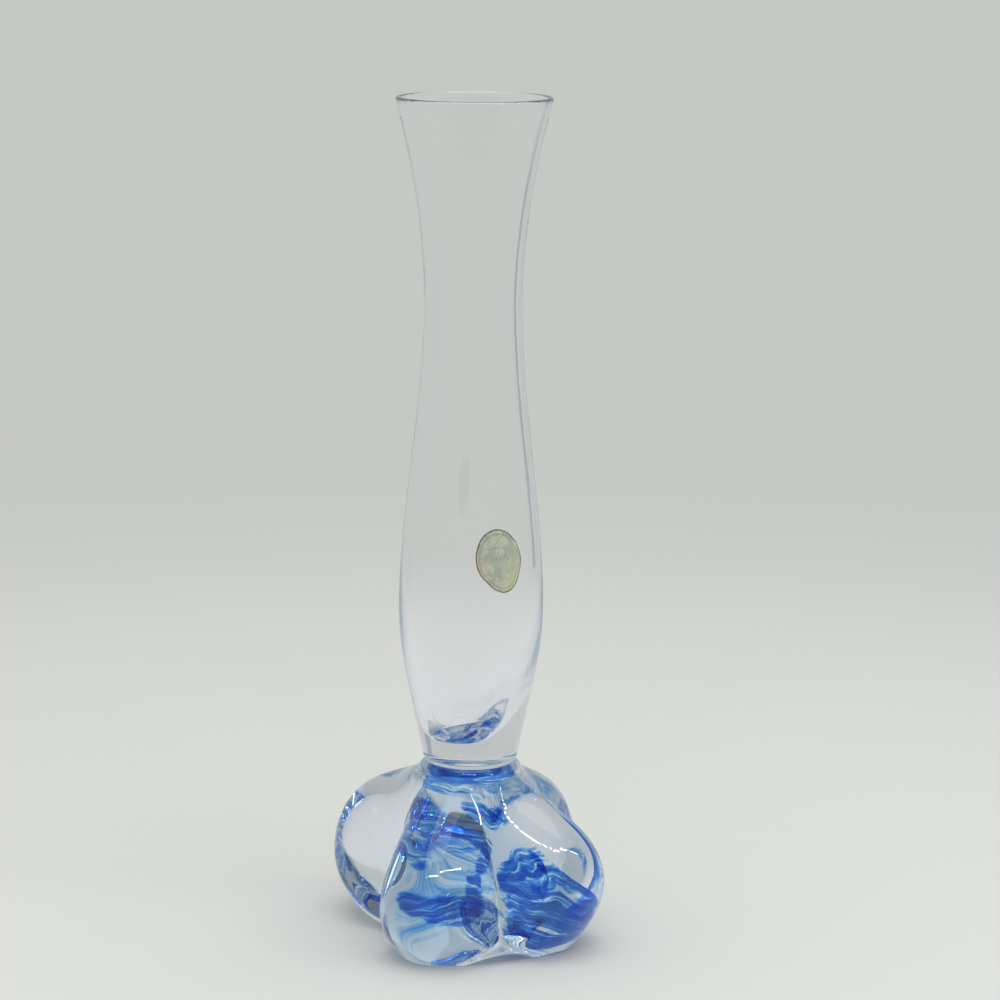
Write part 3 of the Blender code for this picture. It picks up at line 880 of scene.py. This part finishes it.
def make_glass():
    """One closed mesh for bowl and foot, because light passes their fused joint undisturbed."""
    inside_pole = (HOLLOW_LEAN, 0.0, NECK_HEIGHT + BASE_THICKNESS)
    body = skin("clear_glass_vase", glass_rings(), inside_pole, (0.0, 0.0, UNDERSIDE_HEIGHT))
    draw_strands(body.data)
    body.data.materials.append(clear_glass())
    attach(body, "root")
    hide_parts("bowl", "foot")


def make_core():
    ridges = [core_profile(*arm) for arm in CORE_ARMS]
    creases = [core_profile(*CORE_CREASE)] * len(LOBES)
    rings = lobed_rings(ridges, creases, CORE_STEM_RADIUS, CORE_PULL)
    under_pole = (0.0, 0.0, UNDERSIDE_HEIGHT + CORE_LIFT)
    body = skin("blue_glass_core", rings, (0.0, 0.0, CORE_TOP), under_pole)
    body.data.shade_flat()
    paint_core(body.data)
    body.data.materials.append(blue_glass())
    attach(body, "root")
    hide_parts("blue_core")


def make_label():
    rings, sheet_places = label_rings()
    back_pole = label_place(0.0, 0.0, LABEL_SEAT)
    front_pole = label_place(0.0, 0.0, LABEL_SEAT + LABEL_THICKNESS)
    body = skin("oval_label", rings, back_pole, front_pole)
    (sheet,) = new_attributes(body.data, sheet="FLOAT_VECTOR")
    for index, place in enumerate(sheet_places):
        sheet.data[index].vector = place
    body.data.materials.append(worn_paper())
    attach(body, "root")
    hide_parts("label")


# Stage, lights and camera


def make_floor():
    form = bmesh.new()
    bmesh.ops.create_grid(form, x_segments=2, y_segments=2, size=FLOOR_REACH)
    floor = new_object("floor", form)
    floor.location.z = -FLOOR_CLEARANCE
    floor.data.materials.append(floor_paint())


def make_card():
    away = Vector((*CARD_PLACE, 0.0))
    side = Vector((-away.y, away.x, 0.0)).normalized() * CARD_WIDTH / 2.0
    top = Vector((0.0, 0.0, CARD_HEIGHT))
    corners = (away - side, away + side, away + side + top, away - side + top)
    form = bmesh.new()
    form.faces.new([form.verts.new(corner) for corner in corners])
    card = new_object("dark_card", form)
    card.data.materials.append(card_paint())
    card.visible_camera = False
    card.visible_diffuse = False
    card.visible_shadow = False


def make_world():
    world = bpy.data.worlds.new("studio")
    world.use_nodes = True
    bpy.context.scene.world = world
    nodes, links = world.node_tree.nodes, world.node_tree.links
    background = nodes["Background"]
    background.inputs["Strength"].default_value = 1.0
    place = nodes.new("ShaderNodeTexCoord")
    apart = nodes.new("ShaderNodeSeparateXYZ")
    links.new(place.outputs["Generated"], apart.inputs["Vector"])
    behind = map_range(nodes, links, apart.outputs["Y"], *ROOM_BEHIND)
    above = map_range(nodes, links, apart.outputs["Z"], *ROOM_ABOVE)
    dark = math_node(nodes, links, "MULTIPLY", behind, above)
    colour = mix_colour(nodes, links, dark, FAR_COLOUR, ROOM_COLOUR)
    links.new(colour, background.inputs["Color"])


def make_lamp(name, place, target, size, power):
    light = bpy.data.lights.new(name, "AREA")
    light.shape = "RECTANGLE"
    light.size = size
    light.size_y = size
    light.energy = power
    lamp = bpy.data.objects.new(name, light)
    bpy.context.scene.collection.objects.link(lamp)
    lamp.location = place
    lamp.rotation_mode = "QUATERNION"
    lamp.rotation_quaternion = (Vector(target) - Vector(place)).to_track_quat("-Z", "Y")


def make_lamps():
    make_lamp("overhead", OVERHEAD_PLACE, (0.0, 0.0, 0.0), OVERHEAD_SIZE, OVERHEAD_POWER)
    for row, (start, end, count) in enumerate(LAMP_ROWS):
        for index in range(count):
            place = Vector(start).lerp(Vector(end), index / (count - 1))
            make_lamp(f"row_{row}_{index:02d}", place, LAMP_TARGET, LAMP_SIZE, LAMP_POWER)


def make_camera():
    data = bpy.data.cameras.new("camera")
    data.sensor_width = CAMERA_SENSOR
    data.lens = CAMERA_LENS
    data.clip_end = CAMERA_CLIP
    camera = bpy.data.objects.new("camera", data)
    bpy.context.scene.collection.objects.link(camera)
    tilt = Matrix.Rotation(math.radians(90.0 - CAMERA_PITCH), 4, "X")
    roll = Matrix.Rotation(math.radians(CAMERA_ROLL), 4, "Z")
    camera.matrix_world = Matrix.Translation(CAMERA_PLACE) @ tilt @ roll
    bpy.context.scene.camera = camera


make_glass()
make_core()
make_label()
make_floor()
make_card()
make_world()
make_lamps()
make_camera()
scene = bpy.context.scene
scene.view_settings.view_transform = "Standard"
scene.cycles.max_bounces = MOST_BOUNCES
scene.cycles.glossy_bounces = GLASS_BOUNCES
scene.cycles.transmission_bounces = GLASS_BOUNCES
